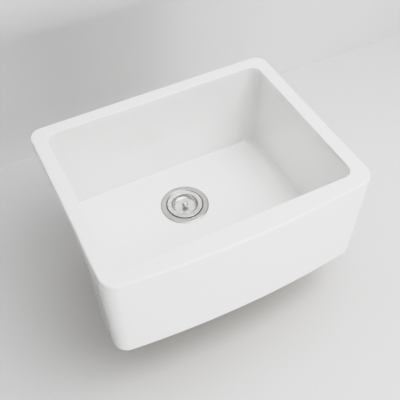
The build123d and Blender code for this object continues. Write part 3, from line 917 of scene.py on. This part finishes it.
def soften_highlights(view):
    """Holds bright tones back as a camera does: even up to the knee, then slowing towards the ceiling."""
    view.use_curve_mapping = True
    mapping = view.curve_mapping
    mapping.white_level = (BRIGHTEST, BRIGHTEST, BRIGHTEST)
    curve = mapping.curves[ALL_COLOURS]
    room = CEILING - KNEE
    for step in range(SHOULDER_STEPS + 1):
        level = between(KNEE, BRIGHTEST, (step / SHOULDER_STEPS) ** 2)
        tone = CEILING - room ** 2 / (level - KNEE + room)
        if step < SHOULDER_STEPS:
            curve.points.new(level / BRIGHTEST, tone)
        else:
            curve.points[-1].location = (1, tone)
    for point in curve.points:
        point.handle_type = "VECTOR"
    mapping.update()


def direction(turn, rise):
    """Which way lies this far round from straight back to the right, and this far above level."""
    return Vector((math.sin(turn) * math.cos(rise), math.cos(turn) * math.cos(rise), math.sin(rise)))


def soft_box(name, place, target, width, height, power):
    """A rectangular studio light that faces the target and doesn't show in the picture itself."""
    light = bpy.data.lights.new(name, "AREA")
    light.shape = "RECTANGLE"
    light.size = width
    light.size_y = height
    light.energy = power
    lamp = bpy.data.objects.new(name, light)
    lamp.location = place
    lamp.rotation_mode = "QUATERNION"
    lamp.rotation_quaternion = (target - place).to_track_quat("-Z", "Y")
    lamp.visible_camera = False
    bpy.context.scene.collection.objects.link(lamp)


def light_room(studio):
    """The even light of the room, and the soft boxes that face the basin's middle."""
    world = bpy.data.worlds.new("room")
    bpy.context.scene.world = world
    world.use_nodes = True
    set_inputs(world.node_tree.nodes["Background"], Color=(1, 1, 1, 1), Strength=studio.room_light)
    middle = Vector((0, 0, HEIGHT / 2))
    for name, (turn, rise, distance, width, height) in SOFT_BOXES.items():
        place = middle + distance * direction(math.radians(turn), math.radians(rise))
        soft_box(name, place, middle, width, height, getattr(studio, name))


def stand_camera(studio):
    """The camera at its place, turned to its heading, its tilt and its roll."""
    camera = bpy.data.cameras.new("camera")
    camera.lens = studio.camera_lens
    camera.sensor_width = FILM_WIDTH
    stand = bpy.data.objects.new("camera", camera)
    bpy.context.scene.collection.objects.link(stand)
    forward = direction(studio.camera_heading, -studio.camera_tilt)
    stand.location = studio.camera_place
    stand.rotation_mode = "QUATERNION"
    stand.rotation_quaternion = (forward.to_track_quat("-Z", "Y")
                                 @ Quaternion((0, 0, 1), studio.camera_roll))
    bpy.context.scene.camera = stand


class SINK_OT_set_stage(Operator):
    """Makes the pale floor and wall, the soft lights and the camera"""
    bl_idname = "sink.set_stage"
    bl_label = "Set Stage"

    def execute(self, context):
        studio = context.scene.sink_studio
        floor_z = CAD_LOW.z - studio.floor_gap
        upright = Quaternion((0, 0, 1), studio.wall_turn) @ Quaternion((1, 0, 0), math.pi / 2)
        floor = one_sided("stage_floor", studio.floor_colour)
        stage_plane("stage_floor", (0, 0, floor_z), Quaternion(), floor)
        wall = one_sided("stage_wall", studio.wall_colour)
        stage_plane("stage_wall", (0, studio.wall_distance, floor_z + STAGE_REACH), upright, wall)
        light_room(studio)
        stand_camera(studio)
        context.scene.view_settings.view_transform = "Standard"
        soften_highlights(context.scene.view_settings)
        return {"FINISHED"}


OPERATORS = (
    SINK_OT_glaze_basin, SINK_OT_brush_strainer, SINK_OT_brush_basket, SINK_OT_brush_cover,
    SINK_OT_polish_knob, SINK_OT_finish_seals, SINK_OT_finish_friction_ring, SINK_OT_finish_nuts,
    SINK_OT_finish_tailpiece_washer, SINK_OT_set_stage,
)
SETTINGS = {
    "sink_glaze": GlazeSettings,
    "sink_metal": MetalSettings,
    "sink_soft": SoftSettings,
    "sink_studio": StudioSettings,
}


class VIEW3D_PT_sink(Panel):
    """Lists the steps that make the sink, and the settings that they use"""
    bl_label = "Apron Front Sink"
    bl_idname = "VIEW3D_PT_sink"
    bl_space_type = "VIEW_3D"
    bl_region_type = "UI"
    bl_category = "Sink"

    def draw(self, context):
        for operator in OPERATORS:
            self.layout.operator(operator.bl_idname)
        for name, group in SETTINGS.items():
            box = self.layout.box()
            for setting in group.__annotations__:
                box.prop(getattr(context.scene, name), setting)


def register():
    """Adds the settings, the operators and the panel to Blender."""
    for group in SETTINGS.values():
        bpy.utils.register_class(group)
    for name, group in SETTINGS.items():
        setattr(bpy.types.Scene, name, PointerProperty(type=group))
    for operator in OPERATORS:
        bpy.utils.register_class(operator)
    bpy.utils.register_class(VIEW3D_PT_sink)


def unregister():
    """Takes them out again, in the reverse order."""
    bpy.utils.unregister_class(VIEW3D_PT_sink)
    for operator in reversed(OPERATORS):
        bpy.utils.unregister_class(operator)
    for name in SETTINGS:
        delattr(bpy.types.Scene, name)
    for group in reversed(SETTINGS.values()):
        bpy.utils.unregister_class(group)


def main():
    """Makes every piece and the stage."""
    register()
    for operator in OPERATORS:
        group, action = operator.bl_idname.split(".")
        getattr(getattr(bpy.ops, group), action)()


if __name__ == "__main__":
    main()
